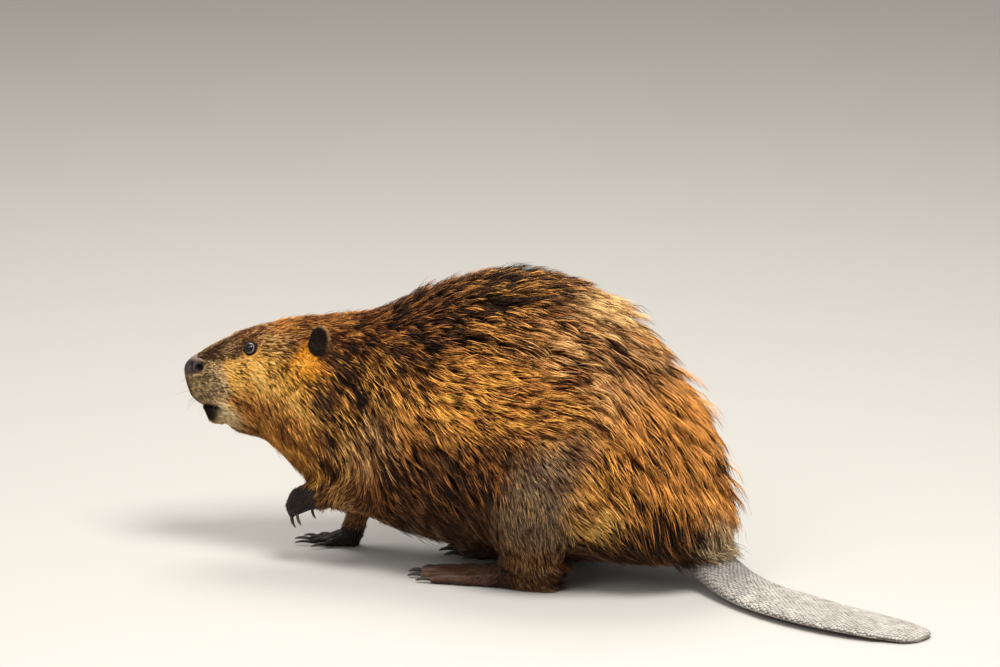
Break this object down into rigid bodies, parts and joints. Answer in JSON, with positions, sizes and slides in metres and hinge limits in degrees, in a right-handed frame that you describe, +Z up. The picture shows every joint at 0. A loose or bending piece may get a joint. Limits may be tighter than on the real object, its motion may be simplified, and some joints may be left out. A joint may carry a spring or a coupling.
{
  "type": "north american beaver, life-size still model",
  "caption": "Life-size beaver walking with one forepaw raised: humped furry body, blunt head, webbed hind feet and a broad flat scaly tail laid on the floor.",
  "frame": {"origin": "middle of the outline seen from above, on the floor", "axes": "+Z up, +Y towards the tail, so the animal faces -Y and +X is its left"},
  "size_m": [0.3008, 0.8354, 0.3189],
  "materials": {
    "fur": "long glossy guard hair over dense underfur, dark brown with rufous and gold tips",
    "face_fur": "short sleek fur, rufous crown, golden cheek, grey-tan muzzle",
    "nose_skin": "bare damp pebbled skin",
    "eye": "wet, nearly black",
    "ear_skin": "thin skin with very short dark fur",
    "tail_scales": "grey horny scales with dark seams",
    "paw_skin": "dark creased skin, thinly haired above",
    "claw": "smooth horn, paler at the tips"
  },
  "bodies": {
    "root": {"head": "face_fur", "lower_jaw": "face_fur", "nose": "nose_skin", "eye_left": "eye", "eye_right": "eye", "ear_left": "ear_skin", "ear_right": "ear_skin", "neck": "fur", "trunk": "fur", "hindleg_left": "fur", "hindleg_right": "fur", "foreleg_left": "fur", "foreleg_right": "fur", "tail": "tail_scales", "hindfoot_left": "paw_skin", "hindfoot_right": "paw_skin", "forefoot_left": "paw_skin", "forefoot_right": "paw_skin", "hindclaw_left_1": "claw", "hindclaw_left_2": "claw", "hindclaw_left_3": "claw", "hindclaw_left_4": "claw", "hindclaw_left_5": "claw", "foreclaw_left_1": "claw", "foreclaw_left_2": "claw", "foreclaw_left_3": "claw", "foreclaw_left_4": "claw", "foreclaw_left_5": "claw", "hindclaw_right_1": "claw", "hindclaw_right_2": "claw", "hindclaw_right_3": "claw", "hindclaw_right_4": "claw", "hindclaw_right_5": "claw", "foreclaw_right_1": "claw", "foreclaw_right_2": "claw", "foreclaw_right_3": "claw", "foreclaw_right_4": "claw", "foreclaw_right_5": "claw"}
  },
  "joints": []
}
